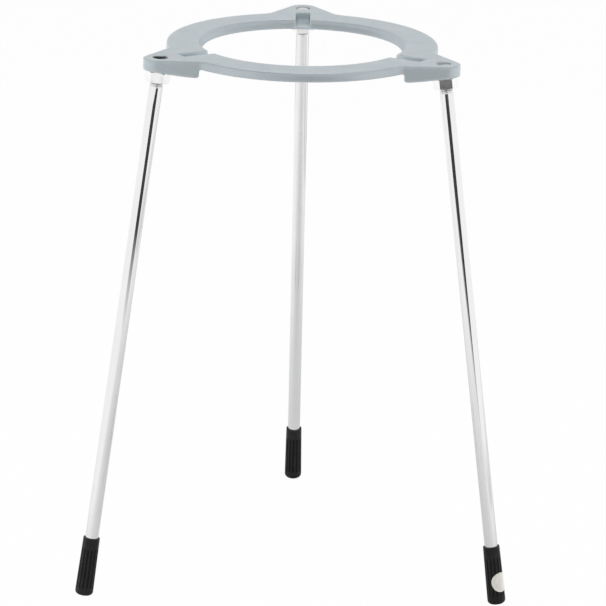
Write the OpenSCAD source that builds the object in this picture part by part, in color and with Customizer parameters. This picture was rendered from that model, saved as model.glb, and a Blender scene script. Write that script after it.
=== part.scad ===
// Laboratory tripod stand: a cast ring with three lugs, on three splayed steel rods.
// Millimetres. +Z up. Origin at the middle of the ring's opening, level with the ring's top.
// The back leg is toward +Y; the left and right legs are 120 degrees either side of it.

/* [Overall] */
// height from the bench to the top of the ring
stand_height = 250; // [150:1:350]
// how much farther out a leg is at the bench than at the ring
leg_spread = 36.5; // [10:0.1:80]

/* [Ring] */
// diameter of the opening at the ring's underside, where it is narrowest
ring_opening = 90.2; // [60:0.1:160]
// how much wider the opening is at the top of the ring, on the radius
opening_flare = 1.8; // [0:0.1:2.5]
// height of the straight rim at the top of the opening
rim_height = 1.5; // [1:0.1:2.5]
// radius of the rounded edge round the top of the opening
rim_edge_round = 0.4; // [0.2:0.1:0.8]
// width of the ring at its underside, from the opening to its outer edge
ring_width = 16.6; // [12:0.1:22]
// thickness of the ring
ring_thickness = 4.4; // [3:0.1:8]
// radius of the ring's rounded outer edges
ring_edge_round = 0.8; // [0.3:0.1:1.2]

/* [Lugs] */
// distance from the ring's outer edge to a leg's axis, level with the ring's underside
lug_reach = 11.7; // [9.5:0.1:20]
// depth of a lug on the axis of its leg, from the top of the ring
lug_depth = 6.4; // [5.5:0.1:12]
// how much deeper a lug is at its inner end than where the nut's seat stops
lug_heel_drop = 0.5; // [0:0.1:1.5]
// how far the middle of a lug's tip lies outside the axis of its leg
lug_tip_shift = 0.8; // [0:0.1:3]
// thickness of a lug's tip round its leg
lug_wall = 3.3; // [2.5:0.1:5]
// angle between a lug's side and its centre line
lug_side_angle = 30; // [15:1:40]
// radius of the blend between a lug's side and the ring
lug_blend_radius = 5; // [2:0.1:8]
// radius of the rounded edge under the inner end of a lug
lug_heel_round = 1.2; // [0.5:0.1:1.5]

/* [Slots] */
// width of the slot across the ring at each lug
slot_width = 6.6; // [4:0.1:9]
// how far the slot runs past the ring's outer edge, into the lug
slot_overrun = 0.7; // [0:0.1:2]
// radius of the rounded corners at the slot's mouth
slot_mouth_round = 2.2; // [1:0.1:4]
// length of the web under the slot, inward from the ring's outer edge
web_length = 10.3; // [6:0.1:12]
// width of the web on each side of the slot
web_side = 2.5; // [1.5:0.1:4]
// thickness of the web at its inner end
web_thickness = 1.4; // [1:0.1:3]

/* [Legs] */
// diameter of a leg rod
leg_diameter = 6; // [4:0.1:8]
// play round the rod in the ring's hole, on the radius
hole_play = 0.15; // [0.05:0.01:0.3]
// width of the bevel round the top of the hole
hole_bevel = 0.4; // [0.2:0.1:0.8]
// how far the end of the back rod lies below the top of its hole
recess_back = 0.8; // [0.6:0.1:4]
// how far the end of the left rod lies below the top of its hole
recess_left = 3; // [0.6:0.1:4]
// how far the end of the right rod lies below the top of its hole
recess_right = 0.8; // [0.6:0.1:4]
// bevel at the top end of a rod
rod_bevel = 0.5; // [0.2:0.1:1]

/* [Nuts] */
// thickness of a nut at its flats, outside the rod
nut_wall = 2; // [1.5:0.1:2.5]
// height of a nut
nut_height = 4.8; // [3:0.1:7]
// play round the rod in a nut, on the radius
nut_play = 0.1; // [0.05:0.01:0.2]
// turn of the nuts about their own legs
nut_turn = 30; // [0:1:60]
// angle of the bevel on a nut's corners
nut_bevel_angle = 30; // [15:1:35]

/* [Feet] */
// length of a foot
foot_length = 27.5; // [15:0.1:40]
// thickness of a foot's wall near its bottom
foot_wall = 1.1; // [1:0.1:3]
// thickness of a foot's wall at its top
foot_top_wall = 0.75; // [0.5:0.05:3]
// radius of the rounded edge at the bottom of a foot
foot_round = 1.8; // [0.8:0.1:2.5]
// thickness of the floor inside a foot
foot_floor = 3; // [2:0.1:6]
// play round the rod in a foot, on the radius
foot_play = 0.05; // [0.02:0.01:0.1]
// number of grooves round a foot
groove_count = 14; // [8:1:20]
// radius of a groove
groove_radius = 0.35; // [0.2:0.05:0.4]
// height of the smooth band above the grooves
foot_band = 5; // [2:0.1:10]

/* [Label] */
// diameter of the round blank label on the right foot
label_diameter = 9.2; // [4:0.1:10]
// height of the label's middle, along the leg from the bottom of the foot
label_height = 10.7; // [7:0.1:14]
// direction the label faces, about the leg, from the outward direction
label_turn = -18; // [-180:1:180]
// thickness of the label
label_thickness = 0.15; // [0.1:0.01:0.3]
// play between the label and the foot
label_play = 0.03; // [0.01:0.01:0.05]

/* [Hidden] */

$fn = 96;
back = 90;
left = 210;
right = 330;
leg_angles = [back, left, right];
recesses = [recess_back, recess_left, recess_right];
past = 1;
origin = 0;
outline_steps = 48;
tip_steps = 16;
label_reach = 0.9;

ring_inner = ring_opening / 2;
ring_outer = ring_inner + ring_width;
rim_inner = ring_inner + opening_flare;
ring_top = origin;
bench = ring_top - stand_height;
ring_underside = ring_top - ring_thickness;

leg_radius = leg_diameter / 2;
hole_radius = leg_radius + hole_play;
socket_radius = leg_radius + foot_play;

// Distance of a leg's axis from the stand's axis: level with the ring's underside, and at the bench.
reach_at_ring = ring_outer + lug_reach;
reach_at_bench = reach_at_ring + leg_spread;

// How far the legs lean from upright.
splay = atan(leg_spread / (ring_underside - bench));

// The foot's rounded edge touches the bench on the side toward the stand's axis.
foot_radius = socket_radius + foot_wall;
foot_top_radius = socket_radius + foot_top_wall;
foot_flat = foot_radius - foot_round;
foot_lift = foot_flat * sin(splay) + foot_round * (1 - cos(splay));
foot_centre = reach_at_bench - foot_lift * tan(splay);

// Distances along a leg, from the bottom of its foot.
lug_top_along = (ring_top - bench - foot_lift) / cos(splay);
seat_along = lug_top_along - lug_depth / cos(splay);

// A foot narrows upward; its side is tangent to the rounded bottom edge.
foot_rise = foot_length - foot_round;
foot_run = foot_top_radius - foot_flat;
foot_taper = atan2(foot_rise, foot_run) - acos(foot_round / norm([foot_run, foot_rise]));
foot_side_base = foot_top_radius + foot_length * tan(foot_taper);

// Where the lug's straight side leaves the tip, and its distance from the centre line.
lug_tip = reach_at_ring + lug_tip_shift;
lug_tip_radius = leg_radius + lug_wall;
side_start = [lug_tip + lug_tip_radius * sin(lug_side_angle), lug_tip_radius * cos(lug_side_angle)];
side_offset = side_start.x * sin(lug_side_angle) + side_start.y * cos(lug_side_angle);
lug_root = ring_outer - ring_width / 3;
lug_heel = ring_outer - past;
side_at_root = (side_offset - lug_root * sin(lug_side_angle)) / cos(lug_side_angle);

// Centre of the blend between the lug's side and the ring: outside the side line and the ring.
blend_reach = ring_outer + lug_blend_radius;
blend_angle = asin((side_offset + lug_blend_radius) / blend_reach) - lug_side_angle;
blend_centre = blend_reach * [cos(blend_angle), sin(blend_angle)];
blend_on_side = blend_centre - lug_blend_radius * [sin(lug_side_angle), cos(lug_side_angle)];
blend_on_ring = ring_outer * [cos(blend_angle), sin(blend_angle)];

// Centre of the rounding at the slot's mouth.
mouth_y = slot_width / 2 + slot_mouth_round;
mouth_centre = [sqrt(pow(ring_inner + slot_mouth_round, 2) - mouth_y * mouth_y), mouth_y];
mouth_on_ring = mouth_centre * ring_inner / (ring_inner + slot_mouth_round);

// The nut's seat is square to the leg and stops this far from the stand's axis.
nut_face = leg_radius + nut_wall;
nut_corner = nut_face / cos(30);
seat_inner = leg_axis(lug_depth) - nut_corner - past;

// The rounded edge under the lug's inner end.
heel_bottom = seat_height(seat_inner) - lug_heel_drop;
heel_middle = [lug_heel + lug_heel_round, heel_bottom + lug_heel_round];

web_inner = ring_outer - web_length;

// Height of the nut's seat at a distance from the stand's axis.
function seat_height(reach) = ring_top - lug_depth + (reach - leg_axis(lug_depth)) * tan(splay);

// Distance of a leg's axis from the stand's axis, at a depth below the top of the ring.
function leg_axis(depth) = reach_at_ring + (depth - ring_thickness) * tan(splay);

// Radius of a foot's side at a distance along the leg.
function foot_side(along) = foot_side_base - along * tan(foot_taper);

module at_leg(index) {
    rotate([0, 0, leg_angles[index]])
        translate([foot_centre, 0, bench + foot_lift])
            rotate([0, -splay, 0])
                children();
}

module at_lugs() {
    for (angle = leg_angles)
        rotate([0, 0, angle])
            children();
}

module mirrored_pair() {
    children();
    mirror([0, 1, 0])
        children();
}

module ring_section() {
    outer = ring_outer - ring_edge_round;
    inner = rim_inner + rim_edge_round;
    for (y = [ring_underside + ring_edge_round, ring_top - ring_edge_round])
        translate([outer, y])
            circle(r = ring_edge_round);
    translate([inner, ring_top - rim_edge_round])
        circle(r = rim_edge_round);
    polygon([
        [ring_inner, ring_underside],
        [outer, ring_underside],
        [outer, ring_underside + ring_edge_round],
        [ring_outer, ring_underside + ring_edge_round],
        [ring_outer, ring_top - ring_edge_round],
        [outer, ring_top - ring_edge_round],
        [outer, ring_top],
        [inner, ring_top],
        [inner, ring_top - rim_edge_round],
        [rim_inner, ring_top - rim_edge_round],
        [rim_inner, ring_top - rim_height]
    ]);
}

module blend_plan() {
    difference() {
        polygon([[lug_root, 0], blend_on_side, blend_centre, blend_on_ring, [lug_root, side_at_root]]);
        translate(blend_centre)
            circle(r = lug_blend_radius);
    }
}

module lug_plan() {
    polygon([
        [lug_root, -side_at_root],
        for (step = [-tip_steps : tip_steps])
            let (turn = (90 - lug_side_angle) * step / tip_steps)
                [lug_tip + lug_tip_radius * cos(turn), lug_tip_radius * sin(turn)],
        [lug_root, side_at_root]
    ]);
    mirrored_pair()
        blend_plan();
}

// Side view of a lug: reach from the stand's axis, then height.
module lug_profile() {
    far = lug_tip + lug_tip_radius + past;
    translate(heel_middle)
        circle(r = lug_heel_round);
    polygon([
        [lug_root, ring_top],
        [lug_root, ring_underside + ring_edge_round],
        [lug_heel, ring_underside + ring_edge_round],
        [lug_heel, heel_middle.y],
        heel_middle,
        [heel_middle.x, heel_bottom],
        [seat_inner, seat_height(seat_inner)],
        [far, seat_height(far)],
        [far, ring_top]
    ]);
}

module lug() {
    intersection() {
        translate([0, 0, ring_top - 2 * lug_depth])
            linear_extrude(2 * lug_depth)
                lug_plan();
        rotate([90, 0, 0])
            linear_extrude(4 * ring_width, center = true)
                lug_profile();
    }
}

// The web that carries the slot's floor, deepening outward into the lug.
module web() {
    rotate([90, 0, 0])
        linear_extrude(slot_width + 2 * web_side, center = true)
            polygon([
                [web_inner, ring_underside + ring_edge_round],
                [web_inner, ring_underside - web_thickness],
                [heel_middle.x, heel_bottom],
                [heel_middle.x, ring_underside + ring_edge_round]
            ]);
}

module slot_plan() {
    translate([0, -slot_width / 2])
        square([ring_outer + slot_overrun, slot_width]);
    mirrored_pair()
        difference() {
            polygon([[ring_inner / 2, 0], [mouth_centre.x, 0], mouth_centre, mouth_on_ring]);
            translate(mouth_centre)
                circle(r = slot_mouth_round);
        }
}

module ring() {
    color([0.74, 0.76, 0.78])
        difference() {
            union() {
                rotate_extrude()
                    ring_section();
                at_lugs()
                    lug();
                at_lugs()
                    web();
            }
            at_lugs()
                translate([0, 0, ring_underside])
                    linear_extrude(ring_thickness + past)
                        slot_plan();
            for (index = [0, 1, 2])
                at_leg(index)
                    leg_hole();
        }
}

module leg_hole() {
    translate([0, 0, seat_along - past])
        cylinder(h = lug_top_along - seat_along + 3 * past, r = hole_radius);
    translate([0, 0, lug_top_along - hole_bevel])
        cylinder(h = 2 * hole_bevel, r1 = hole_radius, r2 = hole_radius + 2 * hole_bevel);
}

module leg(index) {
    rod_top = lug_top_along - recesses[index];
    color([0.86, 0.87, 0.88])
        at_leg(index) {
            translate([0, 0, foot_floor])
                cylinder(h = rod_top - rod_bevel - foot_floor, r = leg_radius);
            translate([0, 0, rod_top - rod_bevel])
                cylinder(h = rod_bevel, r1 = leg_radius, r2 = leg_radius - rod_bevel);
        }
}

module nut(index) {
    bevel = (nut_corner - nut_face) * tan(nut_bevel_angle);
    color([0.9, 0.9, 0.9])
        at_leg(index)
            translate([0, 0, seat_along - nut_height])
                rotate([0, 0, nut_turn])
                    difference() {
                        intersection() {
                            cylinder(h = nut_height, r = nut_corner, $fn = 6);
                            rotate_extrude()
                                polygon([
                                    [0, 0],
                                    [nut_face, 0],
                                    [nut_corner, bevel],
                                    [nut_corner, nut_height - bevel],
                                    [nut_face, nut_height],
                                    [0, nut_height]
                                ]);
                        }
                        translate([0, 0, -past])
                            cylinder(h = nut_height + 2 * past, r = leg_radius + nut_play);
                    }
}

module foot_section() {
    translate([foot_flat, foot_round])
        circle(r = foot_round);
    polygon([
        [0, 0],
        [foot_flat, 0],
        [foot_flat, foot_round],
        [foot_flat + foot_round * cos(foot_taper), foot_round * (1 + sin(foot_taper))],
        [foot_top_radius, foot_length],
        [0, foot_length]
    ]);
}

module grooves() {
    groove_bottom = 2 * foot_round;
    groove_length = foot_length - foot_band - groove_bottom;
    for (turn = [0 : groove_count - 1])
        rotate([0, 0, 360 * turn / groove_count])
            translate([foot_side(groove_bottom), 0, groove_bottom])
                rotate([0, -foot_taper, 0])
                    cylinder(h = groove_length, r = groove_radius);
}

module foot(index) {
    color([0.13, 0.13, 0.14])
        at_leg(index)
            difference() {
                rotate_extrude()
                    foot_section();
                translate([0, 0, foot_floor])
                    cylinder(h = foot_length, r = socket_radius);
                grooves();
            }
}

// The label's outline as it looks from the front once it is wrapped round the foot.
module label_outline() {
    radius = label_diameter / 2;
    around = foot_side(label_height);
    polygon([
        for (step = [0 : outline_steps - 1])
            let (turn = 360 * step / outline_steps)
                [
                    around * sin(radius * cos(turn) / around * 180 / PI),
                    radius * sin(turn)
                ]
    ]);
}

module label() {
    inner = label_play;
    outer = label_play + label_thickness;
    low = label_height - label_diameter * label_reach;
    high = label_height + label_diameter * label_reach;
    color([0.88, 0.86, 0.84])
        at_leg(2)
            rotate([0, 0, label_turn])
                intersection() {
                    rotate_extrude()
                        polygon([
                            [foot_side(low) + inner, low],
                            [foot_side(low) + outer, low],
                            [foot_side(high) + outer, high],
                            [foot_side(high) + inner, high]
                        ]);
                    translate([0, 0, label_height])
                        rotate([90, 0, 90])
                            linear_extrude(2 * foot_radius)
                                label_outline();
                }
}

ring();
leg(0);  // leg_back
leg(1);  // leg_left
leg(2);  // leg_right
nut(0);  // nut_back
nut(1);  // nut_left
nut(2);  // nut_right
foot(0);  // foot_back
foot(1);  // foot_left
foot(2);  // foot_right
label();
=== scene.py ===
import math

import bpy
import numpy as np
from mathutils import Matrix, Vector


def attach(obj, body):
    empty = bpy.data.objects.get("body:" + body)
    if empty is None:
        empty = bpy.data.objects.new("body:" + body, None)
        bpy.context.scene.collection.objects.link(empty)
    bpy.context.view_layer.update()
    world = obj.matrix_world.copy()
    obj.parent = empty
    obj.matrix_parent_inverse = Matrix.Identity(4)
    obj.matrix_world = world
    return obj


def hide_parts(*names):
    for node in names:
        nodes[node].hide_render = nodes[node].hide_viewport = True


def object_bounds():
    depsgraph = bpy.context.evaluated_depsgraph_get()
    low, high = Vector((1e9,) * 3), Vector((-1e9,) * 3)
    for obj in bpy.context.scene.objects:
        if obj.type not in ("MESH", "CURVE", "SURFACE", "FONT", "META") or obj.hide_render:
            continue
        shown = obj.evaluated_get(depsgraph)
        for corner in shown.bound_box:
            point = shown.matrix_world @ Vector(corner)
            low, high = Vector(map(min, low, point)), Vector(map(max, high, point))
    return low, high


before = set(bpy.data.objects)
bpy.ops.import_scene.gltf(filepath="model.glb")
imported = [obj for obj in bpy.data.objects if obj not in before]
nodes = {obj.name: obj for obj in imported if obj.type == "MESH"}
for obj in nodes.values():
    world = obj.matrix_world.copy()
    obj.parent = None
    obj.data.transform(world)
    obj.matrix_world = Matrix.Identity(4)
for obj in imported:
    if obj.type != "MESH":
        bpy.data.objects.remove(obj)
cad_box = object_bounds()
scene = bpy.context.scene

MM = 0.001
SIDES = ("back", "left", "right")

# Casting
VOXEL = 0.5 * MM
SOFTENING = 7
WELD_DISTANCE = 0.0005 * MM
BORE_EDGE = 3.45 * MM
BORE_FADE = 0.25 * MM
BORE_DEPTH = 10 * MM
# Painted shade on the bore walls, over their dark bare metal, for each side: strongest in the deep
# left hole.
BORE_SHADE = {"back": 0.1, "left": 1, "right": 0.1}
# Share of painted light on the slot walls, for each side: it stands in for bounce light.
SLOT_PAINTED_LIGHT = {"back": 0.4, "left": 0.5, "right": 0.5}
SLOT_REACH = (46 * MM, 67 * MM)
SLOT_DEPTH = (-6 * MM, -0.3 * MM)
SLOT_HALF_WIDTH = 3.6 * MM

# Rods
ROD_COLUMNS = 64
ROD_PLAIN_ROWS = 60
ROD_LOW_BEVEL = 0.4 * MM
ROD_TOP_BEVEL = 0.5 * MM
ROD_END_SKIN = 0.02 * MM
THREAD_PITCH = 1.0 * MM
THREAD_ROWS = 14
THREAD_DEPTH = 0.56 * MM
THREAD_RUNOUT = 1.5 * THREAD_PITCH
THREAD_LEAD = 0.8 * MM
THREAD_BELOW_NUT = 2.4 * MM

# Nuts
NUT_COLUMNS_PER_SIDE = 12
NUT_BEVEL_ANGLE = 30
NUT_BEVEL_LAND = 0.02 * MM
NUT_FLAT_INSET = 0.1 * MM
NUT_EDGE = 0.14 * MM
NUT_EDGE_ANGLE = 20
NUT_SINK = 0.35 * MM

# Feet
GROOVES = 14
GROOVE_COLUMNS = 16
GROOVE_DEPTH = 0.35 * MM
GROOVE_HALF_WIDTH = 0.4 * MM
GROOVE_RUNOUT = 0.8 * MM
FOOT_ROUND = 1.8 * MM
FOOT_ROUND_ROWS = 8
FOOT_BAND = 5.0 * MM
FOOT_WALL_FLOOR = 3.0 * MM
FOOT_LIP = 0.22 * MM
SOCKET_EDGE = 0.1 * MM
SOCKET_STEP = 4 * MM
END_SKIN = 0.01 * MM

# Floor, as the camera and the bright metal see it
FLOOR_WHITE = 0.98
FLOOR_DIM = 0.04
FLOOR_DIM_PLACE = (-0.15, 0, 0)
FLOOR_DIM_REACH = (0.15, 0.75)
FLOOR_SIZE = ((-4, -4), (4, -4), (4, 5), (-4, 5))

# Black cards
CARD_BLACK = (0.06, 0.06, 0.06)
FLAG_Y = -0.34
FLAG_OUTLINE = ((-0.12, -0.045), (-0.02, -0.045), (-0.02, -0.02),
                (0.19, -0.02), (0.19, -0.22), (-0.12, -0.22))
FLAG_FADE = (-0.19, -0.13)
FLAG_FADE_SLOPE = 0.2
FLAG_TOP_FADE = (-0.047, -0.041)
FLAG_TOP_OPACITY = 0.92
BACK_FLAG_ENDS = ((0.05, 0.40), (0.17, 0.38))
BACK_FLAG_HEIGHTS = (-0.02, -0.22)
UPPER_REACH = 0.45
UPPER_MIDDLE_Y = 0.04
UPPER_HEIGHTS = (0.25, 0.78)
UPPER_CARDS = ((-30, 25, 1.0), (-80, -30, 0.7), (-130, -80, 0.9), (45, 140, 0.5))

# Fill of the world on everything but the bright metal
WORLD_FILL = 0.3

# Camera
CAMERA_DISTANCE = 1.57895
CAMERA_ELEVATION = math.radians(12.827)
CAMERA_TILT = math.radians(17.138)
CAMERA_ROLL = math.radians(1.252)
CAMERA_PAN = math.radians(0.1046)
CAMERA_LENS = 205.83
CAMERA_SENSOR = 36


# ---------------------------------------------------------------- mesh helpers

def mesh_piece(name, verts, faces, matrix=None):
    """A mesh object with its place in its vertices, shaded smooth."""
    mesh = bpy.data.meshes.new(name)
    points = [tuple(matrix @ Vector(v)) if matrix else tuple(v) for v in verts]
    mesh.from_pydata(points, [], faces)
    mesh.validate()
    mesh.polygons.foreach_set("use_smooth", [True] * len(mesh.polygons))
    mesh.update()
    piece = bpy.data.objects.new(name, mesh)
    scene.collection.objects.link(piece)
    return piece


def apply_modifiers(piece):
    bpy.context.view_layer.update()
    evaluated = piece.evaluated_get(bpy.context.evaluated_depsgraph_get())
    mesh = bpy.data.meshes.new_from_object(evaluated)
    piece.modifiers.clear()
    old = piece.data
    piece.data = mesh
    mesh.name = piece.name
    bpy.data.meshes.remove(old)


def grid_faces(rows, columns):
    """Quads between closed rings of vertices, each ring one row."""
    faces = []
    for row in range(rows - 1):
        for column in range(columns):
            a = row * columns + column
            b = row * columns + (column + 1) % columns
            faces.append((a, b, b + columns, a + columns))
    return faces


def close_end(verts, faces, columns, start, z, downward):
    """Closes a ring of vertices with triangles about a new vertex on the axis."""
    middle = len(verts)
    verts.append((0, 0, z))
    for column in range(columns):
        a, b = start + column, start + (column + 1) % columns
        faces.append((b, a, middle) if downward else (a, b, middle))


def mark(piece, name, values):
    """Stores a number for each vertex, which the piece's material reads."""
    attribute = piece.data.attributes.new(name, "FLOAT", "POINT")
    attribute.data.foreach_set("value", np.array(values, np.float32))


def share_of(value, whole):
    return min(max(value / whole, 0), 1)


def in_frame(points, matrix):
    """Points in the local frame that a matrix gives."""
    inverse = np.array(matrix.inverted())
    return points @ inverse[:3, :3].T + inverse[:3, 3]


def points_of(node):
    found = np.array([v.co[:] for v in nodes[node].data.vertices], float)
    return np.unique(np.round(found, 7), axis=0)


def leg_frame(side):
    """A rod's length, and the matrix of its frame: origin at the middle of its lower end,
    local z up the rod and local x outward."""
    points = points_of("leg_" + side)
    middle = points.mean(0)
    axis = np.linalg.svd(points - middle)[2][0]
    axis = axis if axis[2] > 0 else -axis
    along = points @ axis
    low = Vector(points[along < along.min() + 0.2 * MM].mean(0))
    high = Vector(points[along > along.max() - 0.2 * MM].mean(0))
    z = (high - low).normalized()
    out = Vector((middle[0], middle[1], 0))
    x = (out - z * out.dot(z)).normalized()
    y = z.cross(x)
    matrix = Matrix((x, y, z)).transposed().to_4x4()
    matrix.translation = low
    return matrix, (high - low).length


def local_points(node, matrix):
    return in_frame(points_of(node), matrix)


# ---------------------------------------------------------------- rods

def thread_share(turn):
    """0 on the crest and 1 at the root of a 60 degree thread, at a share of its pitch."""
    f = turn - math.floor(turn)
    crest, ramp, root = 1 / 8, 5 / 16, 1 / 4
    if f < crest:
        return 0
    if f < crest + ramp:
        return (f - crest) / ramp
    if f < crest + ramp + root:
        return 1
    return 1 - (f - crest - ramp - root) / ramp


def rod_heights(length, thread_start):
    """Rows of a rod: few on the plain part, and enough on the thread to cut it."""
    plain = thread_start - THREAD_LEAD - ROD_LOW_BEVEL
    heights = [0, ROD_LOW_BEVEL]
    heights += [ROD_LOW_BEVEL + plain * i / ROD_PLAIN_ROWS for i in range(1, ROD_PLAIN_ROWS + 1)]
    z = heights[-1]
    step = THREAD_PITCH / THREAD_ROWS
    while z + step < length:
        z += step
        heights.append(z)
    return heights + [length]


def make_rod(side, matrix, length, nut_low):
    """A rod whose thread starts a little below its nut."""
    local = local_points("leg_" + side, matrix)
    radius = np.hypot(local[:, 0], local[:, 1]).max()
    thread_start = nut_low - THREAD_BELOW_NUT
    heights = rod_heights(length, thread_start)
    verts, thread_dirt_and_shade = [], []
    for z in heights:
        runout = share_of(z - thread_start, THREAD_RUNOUT)
        runout = runout * runout * (3 - 2 * runout)
        limit = radius - max(z - (length - ROD_TOP_BEVEL), 0) - max(ROD_LOW_BEVEL - z, 0)
        # Darker thread roots toward the nut: dirt and painted shade.
        toward_nut = share_of(z - thread_start, THREAD_BELOW_NUT)
        for column in range(ROD_COLUMNS):
            turn = column / ROD_COLUMNS
            cut = THREAD_DEPTH * thread_share(z / THREAD_PITCH - turn) * runout
            r = min(radius - cut, limit)
            angle = 2 * math.pi * turn
            verts.append((r * math.cos(angle), r * math.sin(angle), z))
            thread_dirt_and_shade.append(cut / THREAD_DEPTH * toward_nut)
    faces = grid_faces(len(heights), ROD_COLUMNS)
    top = (len(heights) - 1) * ROD_COLUMNS
    close_end(verts, faces, ROD_COLUMNS, 0, 0, True)
    close_end(verts, faces, ROD_COLUMNS, top, length, False)
    rod = mesh_piece("rod_" + side, verts, faces, matrix)
    for polygon in rod.data.polygons:
        if len(polygon.vertices) == 3:
            polygon.use_smooth = False
    mark(rod, "thread_dirt_and_shade", thread_dirt_and_shade + [0, 0])
    sawn = [z > length - ROD_END_SKIN for z in np.repeat(heights, ROD_COLUMNS)]
    mark(rod, "sawn", sawn + [0, 1])
    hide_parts("leg_" + side)
    return rod


# ---------------------------------------------------------------- nuts

def make_nut(side, matrix):
    local = local_points("nut_" + side, matrix)
    low, high = local[:, 2].min(), local[:, 2].max()
    reach = np.hypot(local[:, 0], local[:, 1])
    corner = reach.max()
    farthest = local[reach.argmax()]
    turn = math.atan2(farthest[1], farthest[0])
    face = corner * math.cos(math.pi / 6)
    bore = reach.min()
    height = high - low
    columns = 6 * NUT_COLUMNS_PER_SIDE
    slope = math.tan(math.radians(NUT_BEVEL_ANGLE))
    flat = face - NUT_FLAT_INSET
    sixth = math.pi / 3
    sections = []
    for column in range(columns):
        angle = sixth * column / NUT_COLUMNS_PER_SIDE
        hexagon = face / math.cos(angle % sixth - sixth / 2)
        bevel = max((hexagon - face) * slope, 0) + NUT_BEVEL_LAND
        sections.append((turn + angle, [
            (bore, NUT_SINK), (bore + NUT_SINK, 0), (flat, 0), (hexagon, bevel),
            (hexagon, height / 2), (hexagon, height - bevel),
            (flat, height), (bore + NUT_SINK, height), (bore, height - NUT_SINK),
        ]))
    rows = len(sections[0][1])
    verts = []
    for row in range(rows):
        for angle, section in sections:
            r, z = section[row]
            verts.append((r * math.cos(angle), r * math.sin(angle), low + z))
    faces = grid_faces(rows, columns)
    last = (rows - 1) * columns
    for column in range(columns):
        a, b = column, (column + 1) % columns
        faces.append((last + a, last + b, b, a))
    nut = mesh_piece("hex_nut_" + side, verts, faces, matrix)
    bevel = nut.modifiers.new("edges", "BEVEL")
    bevel.width = NUT_EDGE
    bevel.segments = 3
    bevel.limit_method = "ANGLE"
    bevel.angle_limit = math.radians(NUT_EDGE_ANGLE)
    bevel.harden_normals = True
    apply_modifiers(nut)
    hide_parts("nut_" + side)
    return nut


# ---------------------------------------------------------------- feet

def foot_section(wide, top_radius, socket, length, groove_low, groove_high):
    """Radius and height of each row, from the flat bottom up, over the lip and into the socket."""
    flat = wide - FOOT_ROUND
    section = []
    for i in range(FOOT_ROUND_ROWS + 1):
        a = math.radians(90 * i / FOOT_ROUND_ROWS)
        section.append((flat + FOOT_ROUND * math.sin(a), FOOT_ROUND * (1 - math.cos(a))))
    heights = list(np.linspace(FOOT_ROUND + 0.6 * MM, groove_low, 3))
    for start, end, rows in (
            (groove_low, groove_low + GROOVE_RUNOUT, 6),
            (groove_low + GROOVE_RUNOUT, groove_high - GROOVE_RUNOUT, 14),
            (groove_high - GROOVE_RUNOUT, groove_high, 6),
            (groove_high, length - FOOT_LIP, 5)):
        heights += list(np.linspace(start, end, rows)[1:])
    for z in heights:
        share = (z - FOOT_ROUND) / (length - FOOT_ROUND)
        section.append((wide + (top_radius - wide) * share, z))
    for i in range(1, 4):
        a = math.radians(30 * i)
        section.append((top_radius - FOOT_LIP * (1 - math.cos(a)),
                        length - FOOT_LIP * (1 - math.sin(a))))
    section += [(socket + SOCKET_EDGE, length), (socket, length - SOCKET_EDGE)]
    section += [(socket, length - SOCKET_STEP), (socket, FOOT_WALL_FLOOR)]
    return section


def make_foot(side, matrix):
    local = local_points("foot_" + side, matrix)
    low, high = local[:, 2].min(), local[:, 2].max()
    reach = np.hypot(local[:, 0], local[:, 1])
    at_top = reach[local[:, 2] > high - END_SKIN]
    wide, top_radius, socket = reach.max(), at_top.max(), at_top.min()
    length = high - low
    groove_low, groove_high = 2 * FOOT_ROUND, length - FOOT_BAND
    section = foot_section(wide, top_radius, socket, length, groove_low, groove_high)
    columns = GROOVES * GROOVE_COLUMNS
    half = GROOVE_COLUMNS // 2
    verts, depths = [], []
    for r, z in section:
        runout = min(share_of(z - groove_low, GROOVE_RUNOUT),
                     share_of(groove_high - z, GROOVE_RUNOUT))
        share = math.sqrt(max(1 - (1 - runout) ** 2, 0)) if runout > 0 else 0
        for column in range(columns):
            angle = 2 * math.pi * column / columns
            across = ((column % GROOVE_COLUMNS) + half) % GROOVE_COLUMNS - half
            distance = abs(across) / GROOVE_COLUMNS * 2 * math.pi / GROOVES * wide
            inside = max(1 - (distance / GROOVE_HALF_WIDTH) ** 2, 0) ** 0.75
            q = r - GROOVE_DEPTH * inside * share if r > socket + 0.3 * MM else r
            depths.append((r - q) / GROOVE_DEPTH)
            verts.append((q * math.cos(angle), q * math.sin(angle), low + z))
    faces = grid_faces(len(section), columns)
    last = (len(section) - 1) * columns
    close_end(verts, faces, columns, 0, low, True)
    close_end(verts, faces, columns, last, low + FOOT_WALL_FLOOR, False)
    foot = mesh_piece("rubber_foot_" + side, verts, faces, matrix)
    # Groove depth for each vertex, which the rubber reads as painted shade.
    mark(foot, "groove", depths + [0, 0])
    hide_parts("foot_" + side)
    return foot


# ---------------------------------------------------------------- casting

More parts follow.
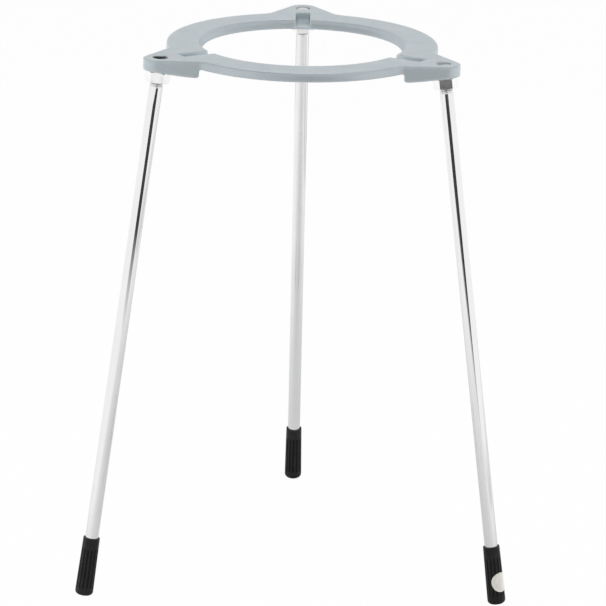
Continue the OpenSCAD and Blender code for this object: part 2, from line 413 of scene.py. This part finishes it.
def mark_holes(casting):
    """Marks the walls of the rods' holes as bore, dark bare metal with painted shade in the deep
    left hole, and those of the slots with painted light that stands in for bounce light.
    """
    places = np.array([v.co[:] for v in casting.data.vertices], float)
    bore = np.zeros(len(places))
    slot = np.zeros(len(places))
    for side in SIDES:
        matrix, length = leg_frame(side)
        local = in_frame(places, matrix)
        reach = np.hypot(local[:, 0], local[:, 1])
        # Bore mask: dark bare metal with painted shade, weighted for each side.
        share = np.clip((BORE_EDGE - reach) / BORE_FADE, 0, 1)
        share *= local[:, 2] > length - BORE_DEPTH
        bore = np.maximum(bore, BORE_SHADE[side] * share)
        outward = np.array(Vector((matrix.translation.x, matrix.translation.y)).normalized())
        along = places[:, :2] @ outward
        across = places[:, :2] @ np.array((-outward[1], outward[0]))
        inside = (along > SLOT_REACH[0]) & (along < SLOT_REACH[1])
        inside &= np.abs(across) < SLOT_HALF_WIDTH
        inside &= (places[:, 2] > SLOT_DEPTH[0]) & (places[:, 2] < SLOT_DEPTH[1])
        # Painted light: the slot walls get a lighter colour.
        slot = np.maximum(slot, SLOT_PAINTED_LIGHT[side] * inside)
    mark(casting, "bore", bore)
    mark(casting, "slot", slot)


def make_casting():
    """The ring with the soft edges of a painted casting: the exact ring remeshed and smoothed."""
    casting = nodes["ring"].copy()
    casting.data = nodes["ring"].data.copy()
    casting.name = "cast_ring"
    for key in list(casting.keys()):
        del casting[key]
    casting.parent = None
    casting.matrix_world = Matrix.Identity(4)
    scene.collection.objects.link(casting)
    casting.data.materials.clear()
    weld = casting.modifiers.new("weld", "WELD")
    weld.merge_threshold = WELD_DISTANCE
    remesh = casting.modifiers.new("remesh", "REMESH")
    remesh.mode = "VOXEL"
    remesh.voxel_size = VOXEL * 1
    remesh.use_smooth_shade = True
    smooth = casting.modifiers.new("soften", "SMOOTH")
    smooth.factor = 0.5
    smooth.iterations = SOFTENING
    apply_modifiers(casting)
    mark_holes(casting)
    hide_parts("ring")
    return casting


# ---------------------------------------------------------------- materials

class Nodes:
    """Short ways to build a node material."""

    def __init__(self, name):
        self.material = bpy.data.materials.new(name)
        self.material.use_nodes = True
        self.tree = self.material.node_tree
        self.shader = self.tree.nodes["Principled BSDF"]
        self.place = self.new("ShaderNodeTexCoord").outputs["Object"]

    def new(self, kind, **values):
        node = self.tree.nodes.new(kind)
        for key, value in values.items():
            setattr(node, key, value)
        return node

    def link(self, source, target):
        self.tree.links.new(source, target)

    def put(self, value, target):
        """Links a socket, or sets a number or a colour."""
        if hasattr(value, "is_linked"):
            self.link(value, target)
        elif isinstance(value, tuple):
            target.default_value = (*value, 1)
        else:
            target.default_value = value

    def set(self, **values):
        """Sets sockets of the shader, named with _ for a space."""
        for key, value in values.items():
            self.put(value, self.shader.inputs[key.replace("_", " ")])

    def attribute(self, name):
        return self.new("ShaderNodeAttribute", attribute_name=name).outputs["Fac"]

    def edge(self):
        return self.new("ShaderNodeNewGeometry").outputs["Pointiness"]

    def noise(self, scale, detail=4, rough=0.55, stretch=None, offset=0):
        place = self.place
        if stretch or offset:
            mapping = self.new("ShaderNodeMapping")
            mapping.inputs["Scale"].default_value = stretch or (1, 1, 1)
            mapping.inputs["Location"].default_value = (offset, offset, offset)
            self.link(place, mapping.inputs["Vector"])
            place = mapping.outputs["Vector"]
        noise = self.new("ShaderNodeTexNoise")
        noise.inputs["Scale"].default_value = scale
        noise.inputs["Detail"].default_value = detail
        noise.inputs["Roughness"].default_value = rough
        self.link(place, noise.inputs["Vector"])
        return noise.outputs["Fac"]

    def spread(self, source, low, high, to_low, to_high):
        node = self.new("ShaderNodeMapRange")
        node.inputs["From Min"].default_value = low
        node.inputs["From Max"].default_value = high
        node.inputs["To Min"].default_value = to_low
        node.inputs["To Max"].default_value = to_high
        self.link(source, node.inputs["Value"])
        return node.outputs["Result"]

    def blend(self, share, a, b):
        node = self.new("ShaderNodeMix", data_type="RGBA")
        for socket, value in ((node.inputs[0], share), (node.inputs[6], a), (node.inputs[7], b)):
            self.put(value, socket)
        return node.outputs[2]

    def math(self, operation, a, b):
        node = self.new("ShaderNodeMath", operation=operation)
        self.put(a, node.inputs[0])
        self.put(b, node.inputs[1])
        return node.outputs[0]

    def bump(self, height, distance, strength, under=None):
        node = self.new("ShaderNodeBump")
        node.inputs["Distance"].default_value = distance
        node.inputs["Strength"].default_value = strength
        self.link(height, node.inputs["Height"])
        if under:
            self.link(under, node.inputs["Normal"])
        return node.outputs["Normal"]


def paint(piece, material):
    piece.data.materials.clear()
    piece.data.materials.append(material)


def casting_material():
    """Grey paint over a rough casting, lighter on worn edges, with painted shade in concave
    creases, painted light in the slots that stands in for bounce light, and dark bare metal in the
    holes with painted shade in the deep left hole."""
    m = Nodes("grey_paint_on_casting")
    broad = m.noise(38, 3)
    cloud = m.noise(140, 4, offset=3.1)
    peel = m.noise(900, 3, 0.5)
    grain = m.noise(2600, 2, 0.6, offset=1.7)
    colour = m.blend(m.spread(broad, 0.3, 0.7, 0, 1),
                     (0.492, 0.552, 0.582), (0.525, 0.585, 0.615))
    colour = m.blend(m.spread(cloud, 0.52, 0.75, 0, 0.35), colour, (0.44, 0.50, 0.53))
    edge = m.edge()
    worn = m.math("MULTIPLY", m.spread(edge, 0.53, 0.58, 0, 1),
                  m.spread(cloud, 0.42, 0.62, 0.15, 0.8))
    colour = m.blend(worn, colour, (0.61, 0.66, 0.685))
    # Painted shade: concave creases are made darker.
    crease_shade = m.math("MULTIPLY", m.spread(edge, 0.47, 0.43, 0, 1),
                   m.spread(broad, 0.35, 0.65, 0.05, 0.25))
    colour = m.blend(crease_shade, colour, (0.34, 0.37, 0.385))
    # Painted light on the slot walls, standing in for bounce light.
    colour = m.blend(m.attribute("slot"), colour, (0.76, 0.83, 0.87))
    # Dark bare metal on the bore walls, with painted shade in the deep left hole.
    colour = m.blend(m.attribute("bore"), colour, (0.045, 0.043, 0.04))
    rough = m.math("ADD", m.spread(cloud, 0.3, 0.7, 0.34, 0.46),
                   m.spread(peel, 0.3, 0.7, -0.05, 0.05))
    normal = m.bump(broad, 0.35 * MM, 0.5)
    normal = m.bump(peel, 0.05 * MM, 0.7, normal)
    normal = m.bump(grain, 0.012 * MM, 0.8, normal)
    m.set(Base_Color=colour, Roughness=rough, Normal=normal, Metallic=0.3, Specular_IOR_Level=0.5)
    return m.material


def chrome_material(name, tint, rough_low, rough_high, wave, with_ends=False):
    """Bright plating with a faint haze and specks. On the rods it is darker in the thread roots
    toward the nut, dirt and painted shade, and duller on the sawn end."""
    m = Nodes(name)
    haze = m.noise(55, 4, 0.6)
    smear = m.noise(420, 5, 0.65, stretch=(1, 1, 0.18), offset=2.3)
    specks = m.noise(3100, 2, 0.7, offset=0.9)
    low = tuple(c * 0.955 for c in tint)
    colour = m.blend(m.spread(haze, 0.3, 0.7, 0, 1), low, tint)
    colour = m.blend(m.spread(specks, 0.68, 0.78, 0, 0.35), colour, (0.34, 0.33, 0.32))
    rough = m.math("ADD", m.spread(haze, 0.3, 0.7, rough_low, rough_high),
                   m.spread(smear, 0.45, 0.75, 0, 0.05))
    if with_ends:
        sawn = m.attribute("sawn")
        # Dirt and painted shade in the thread roots below the nut.
        thread_dirt_and_shade = m.math("MULTIPLY", m.attribute("thread_dirt_and_shade"), 0.75)
        colour = m.blend(thread_dirt_and_shade, colour, (0.2, 0.19, 0.18))
        colour = m.blend(sawn, colour, (0.6, 0.6, 0.6))
        rough = m.math("ADD", rough, m.math("MULTIPLY", sawn, 0.25))
    normal = m.bump(haze, wave, 0.5)
    normal = m.bump(smear, 0.004 * MM, 0.5, normal)
    m.set(Base_Color=colour, Roughness=rough, Normal=normal, Metallic=1)
    return m.material


def rubber_material():
    """Black rubber, dusty and scuffed, and blacker in the grooves with painted shade."""
    m = Nodes("black_ribbed_rubber")
    cloud = m.noise(230, 4)
    grain = m.noise(2400, 3, 0.6, offset=4.4)
    dust = m.noise(700, 5, 0.7, stretch=(1, 1, 0.3), offset=7.7)
    colour = m.blend(m.spread(cloud, 0.3, 0.7, 0, 1),
                     (0.008, 0.008, 0.0087), (0.019, 0.019, 0.02))
    colour = m.blend(m.spread(dust, 0.6, 0.8, 0, 0.2), colour, (0.09, 0.088, 0.085))
    scuff = m.math("MULTIPLY", m.spread(m.edge(), 0.53, 0.6, 0, 1),
                   m.spread(cloud, 0.4, 0.6, 0.1, 0.5))
    colour = m.blend(scuff, colour, (0.075, 0.075, 0.077))
    # Painted shade: the grooves are made blacker.
    groove = m.spread(m.attribute("groove"), 0.05, 0.6, 0, 1)
    colour = m.blend(groove, colour, (0.0015, 0.0015, 0.0016))
    m.set(Base_Color=colour, Roughness=m.spread(cloud, 0.3, 0.7, 0.36, 0.5),
          Normal=m.bump(grain, 0.02 * MM, 0.7), Specular_IOR_Level=0.2)
    return m.material


def paper_material():
    m = Nodes("bare_paper_label")
    fibre = m.noise(2100, 5, 0.7, stretch=(1, 1, 0.35))
    stain = m.noise(330, 3, offset=5.2)
    colour = m.blend(m.spread(fibre, 0.35, 0.65, 0, 1), (0.79, 0.755, 0.715), (0.86, 0.83, 0.79))
    colour = m.blend(m.spread(stain, 0.5, 0.72, 0, 0.45), colour, (0.70, 0.64, 0.57))
    m.set(Base_Color=colour, Roughness=m.spread(fibre, 0.3, 0.7, 0.6, 0.75),
          Normal=m.bump(fibre, 0.015 * MM, 0.6))
    return m.material


# ---------------------------------------------------------------- build

casting = make_casting()
rods, nuts, feet = [], [], []
for side in SIDES:
    matrix, length = leg_frame(side)
    nut_low = local_points("nut_" + side, matrix)[:, 2].min()
    rods.append(make_rod(side, matrix, length, nut_low))
    nuts.append(make_nut(side, matrix))
    feet.append(make_foot(side, matrix))

chrome = chrome_material("polished_chrome", (0.885, 0.887, 0.892),
                         0.035, 0.07, 0.02 * MM, with_ends=True)
zinc = chrome_material("bright_plating", (0.985, 0.985, 0.98), 0.08, 0.15, 0.03 * MM)
for pieces, material in (([casting], casting_material()), (rods, chrome), (nuts, zinc),
                         (feet, rubber_material()), ([nodes["label"]], paper_material())):
    for piece in pieces:
        paint(piece, material)
for piece in [casting] + rods + nuts + feet:
    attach(piece, "root")


# ---------------------------------------------------------------- stage

def stage_piece(name, corners, material):
    """A flat piece of the stage."""
    piece = mesh_piece(name, corners, [tuple(range(len(corners)))])
    paint(piece, material)
    return piece


def flag(name, corners, material):
    """A black card that only the bright metal and the paint's sheen see."""
    card = stage_piece(name, corners, material)
    card.visible_camera = False
    card.visible_diffuse = False
    card.visible_shadow = False


def matt(name, colour):
    m = Nodes(name)
    m.set(Base_Color=colour, Roughness=0.9, Specular_IOR_Level=0)
    return m


def floor_material():
    """White floor with the object's faint shadow on it, which bright metal sees darker near the
    object."""
    m = matt("pale_floor", (0.75, 0.75, 0.75))
    path = m.new("ShaderNodeLightPath")
    metal = m.math("MAXIMUM", path.outputs["Is Glossy Ray"], path.outputs["Is Transmission Ray"])
    mapping = m.new("ShaderNodeMapping")
    mapping.inputs["Location"].default_value = FLOOR_DIM_PLACE
    mapping.inputs["Scale"].default_value = (1.3, 1, 0)
    m.link(m.place, mapping.inputs["Vector"])
    length = m.new("ShaderNodeVectorMath", operation="LENGTH")
    m.link(mapping.outputs["Vector"], length.inputs[0])
    in_metal = m.math("MULTIPLY", metal,
                      m.spread(length.outputs["Value"], *FLOOR_DIM_REACH, FLOOR_DIM, 1.0))
    to_camera = m.math("MULTIPLY", path.outputs["Is Camera Ray"], FLOOR_WHITE)
    white = m.new("ShaderNodeEmission")
    white.inputs["Strength"].default_value = 1
    mix = m.new("ShaderNodeMixShader")
    m.link(m.math("MAXIMUM", to_camera, in_metal), mix.inputs["Fac"])
    m.link(m.shader.outputs["BSDF"], mix.inputs[1])
    m.link(white.outputs["Emission"], mix.inputs[2])
    m.link(mix.outputs["Shader"], m.tree.nodes["Material Output"].inputs["Surface"])
    return m.material


def low_flag_material():
    """Black card that fades out toward its slanted lower edge and is a little open at its top."""
    m = matt("black_flag", CARD_BLACK)
    place = m.new("ShaderNodeSeparateXYZ")
    m.link(m.place, place.inputs["Vector"])
    slope = m.math("MULTIPLY", place.outputs["X"], FLAG_FADE_SLOPE)
    low = m.spread(m.math("ADD", place.outputs["Z"], slope), *FLAG_FADE, 0, 1)
    high = m.spread(place.outputs["Z"], *FLAG_TOP_FADE, 1, FLAG_TOP_OPACITY)
    m.set(Alpha=m.math("MULTIPLY", low, high))
    return m.material


def upper_flag(name, angles, opacity):
    """A card above the front, on an arc about the ring between two angles, right positive."""
    m = matt(name, CARD_BLACK)
    m.set(Alpha=opacity)
    ends = [(UPPER_REACH * math.sin(a), UPPER_MIDDLE_Y - UPPER_REACH * math.cos(a))
            for a in np.radians(angles)]
    flag(name, upright(ends, UPPER_HEIGHTS), m.material)


def upright(ends, heights):
    """Corners of an upright rectangle over two points of the floor."""
    first, second = ends
    low, high = heights
    return [(*first, low), (*second, low), (*second, high), (*first, high)]


def softbox(name, place, target, width, height, radiance):
    """A soft rectangular lamp, given by how bright its face is."""
    data = bpy.data.lights.new(name, "AREA")
    data.shape = "RECTANGLE"
    data.size, data.size_y = width, height
    data.energy = radiance * 2 * width * height
    lamp = bpy.data.objects.new(name, data)
    lamp.location = place
    lamp.rotation_euler = (Vector(target) - Vector(place)).to_track_quat("-Z", "Y").to_euler()
    scene.collection.objects.link(lamp)
    lamp.visible_camera = False
    return lamp


def studio_world():
    """White for the camera and in the metal, and a weaker fill for everything else."""
    world = bpy.data.worlds.new("studio")
    world.use_nodes = True
    tree = world.node_tree
    background = tree.nodes["Background"]
    background.inputs["Color"].default_value = (1, 1, 1, 1)
    path = tree.nodes.new("ShaderNodeLightPath")
    share = path.outputs["Is Camera Ray"]
    for ray in ("Is Glossy Ray", "Is Transmission Ray"):
        both = tree.nodes.new("ShaderNodeMath")
        both.operation = "MAXIMUM"
        tree.links.new(share, both.inputs[0])
        tree.links.new(path.outputs[ray], both.inputs[1])
        share = both.outputs[0]
    strength = tree.nodes.new("ShaderNodeMapRange")
    strength.inputs["To Min"].default_value = WORLD_FILL
    strength.inputs["To Max"].default_value = 1.0
    tree.links.new(share, strength.inputs["Value"])
    tree.links.new(strength.outputs["Result"], background.inputs["Strength"])
    scene.world = world


bench = cad_box[0].z
stage_piece("floor", [(x, y, bench) for x, y in FLOOR_SIZE], floor_material())

black = low_flag_material()
for number, (first, second, opacity) in enumerate(UPPER_CARDS):
    upper_flag("upper_flag_%d" % number, (first, second), opacity)
flag("front_flag", [(x, FLAG_Y, z) for x, z in FLAG_OUTLINE], black)
for name, sign in (("back_flag_left", -1), ("back_flag_right", 1)):
    ends = [(sign * x, y) for x, y in BACK_FLAG_ENDS]
    flag(name, upright(ends, BACK_FLAG_HEIGHTS), black)

softbox("top_light", (0, 0.3, 1.25), (0, 0, 0), 1.5, 1.5, 1.6)
for name, place, target, width, height, radiance in (
        ("front_light", (0, -1.3, 0.55), (0, 0, 0), 0.8, 0.5, 1.0),
        ("left_light", (-0.4, -0.05, -0.05), (0, -0.05, -0.05), 1.1, 0.38, 2.35),
        ("right_light", (0.4, -0.05, -0.05), (0, -0.05, -0.05), 1.1, 0.38, 2.15)):
    softbox(name, place, target, width, height, radiance).visible_glossy = False

studio_world()


# ---------------------------------------------------------------- camera

def turned(first, second, angle):
    """Two axes turned about the third, the first toward the second."""
    c, s = math.cos(angle), math.sin(angle)
    return first * c + second * s, second * c - first * s


forward = Vector((0, math.cos(CAMERA_TILT), -math.sin(CAMERA_TILT)))
right = Vector((1, 0, 0))
down = forward.cross(right)
down, right = turned(down, right, CAMERA_ROLL)
forward, right = turned(forward, right, CAMERA_PAN)
data = bpy.data.cameras.new("camera")
data.lens = CAMERA_LENS
data.sensor_width = CAMERA_SENSOR
camera = bpy.data.objects.new("camera", data)
matrix = Matrix((right, -down, -forward)).transposed().to_4x4()
matrix.translation = (0, -CAMERA_DISTANCE * math.cos(CAMERA_ELEVATION),
                      CAMERA_DISTANCE * math.sin(CAMERA_ELEVATION))
camera.matrix_world = matrix
scene.collection.objects.link(camera)
scene.camera = camera

scene.view_settings.view_transform = "Standard"
